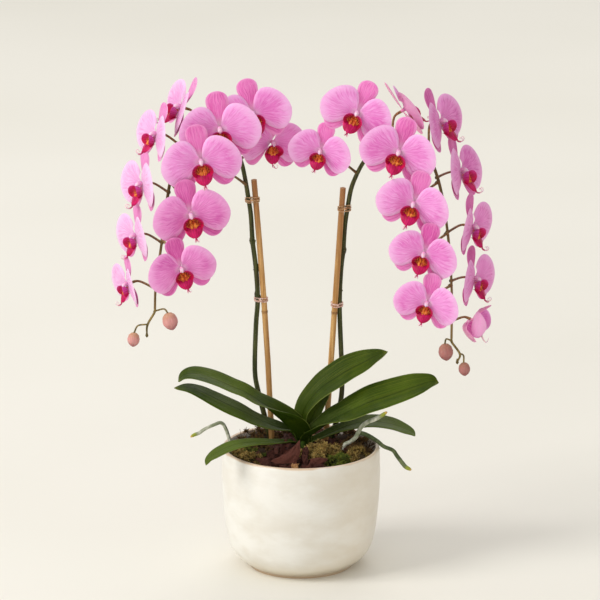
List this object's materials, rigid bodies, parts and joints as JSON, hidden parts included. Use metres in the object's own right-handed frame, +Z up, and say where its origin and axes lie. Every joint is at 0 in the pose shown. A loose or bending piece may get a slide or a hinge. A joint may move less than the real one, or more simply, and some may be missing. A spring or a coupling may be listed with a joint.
{
  "type": "potted moth orchid",
  "caption": "Moth orchid in a round glazed pot, with arching sprays of pink blooms tied to bamboo stakes, strap leaves and aerial roots.",
  "frame": {"origin": "centre of the pot's flat foot, on the surface it stands on", "axes": "+Z up along the pot's axis; the plant's front, which its near blooms face, is toward -Y; +X is the viewer's right seen from the front"},
  "size_m": [0.4254, 0.1808, 0.5522],
  "materials": {
    "glaze": "cream glaze, satin, over a tan lower body",
    "bark": "rough damp bark chips with moss",
    "leaf": "thick waxy leaf, semi-gloss",
    "stem": "satin green-brown stem",
    "bamboo": "dry bamboo, satin",
    "raffia": "dry palm fibre, matte",
    "petal": "soft petal, matte with a faint sheen",
    "lip": "waxy petal, satin",
    "bud": "waxy bud, satin",
    "root": "silvery spongy root, matte"
  },
  "bodies": {
    "root": {"pot": "glaze", "potting_bark": "bark", "leaf_rosette": "leaf", "root_left": "root", "root_right": "root", "spike_left": "stem", "spike_right": "stem", "stake_left": "bamboo", "stake_right": "bamboo", "tie_left_lower": "raffia", "tie_left_upper": "raffia", "tie_right_lower": "raffia", "tie_right_upper": "raffia", "buds_left": "bud", "buds_right": "bud", "half_open_right_12": "petal", "bloom_left_1": "petal", "bloom_left_2": "petal", "bloom_left_3": "petal", "bloom_left_4": "petal", "bloom_left_5": "petal", "bloom_left_6": "petal", "bloom_left_7": "petal", "bloom_left_8": "petal", "bloom_left_9": "petal", "bloom_left_10": "petal", "bloom_left_11": "petal", "bloom_right_1": "petal", "bloom_right_2": "petal", "bloom_right_3": "petal", "bloom_right_4": "petal", "bloom_right_5": "petal", "bloom_right_6": "petal", "bloom_right_7": "petal", "bloom_right_8": "petal", "bloom_right_9": "petal", "bloom_right_10": "petal", "bloom_right_11": "petal", "lip_left_1": "lip", "lip_left_2": "lip", "lip_left_3": "lip", "lip_left_4": "lip", "lip_left_5": "lip", "lip_left_6": "lip", "lip_left_7": "lip", "lip_left_8": "lip", "lip_left_9": "lip", "lip_left_10": "lip", "lip_left_11": "lip", "lip_right_1": "lip", "lip_right_2": "lip", "lip_right_3": "lip", "lip_right_4": "lip", "lip_right_5": "lip", "lip_right_6": "lip", "lip_right_7": "lip", "lip_right_8": "lip", "lip_right_9": "lip", "lip_right_10": "lip", "lip_right_11": "lip"}
  },
  "joints": []
}
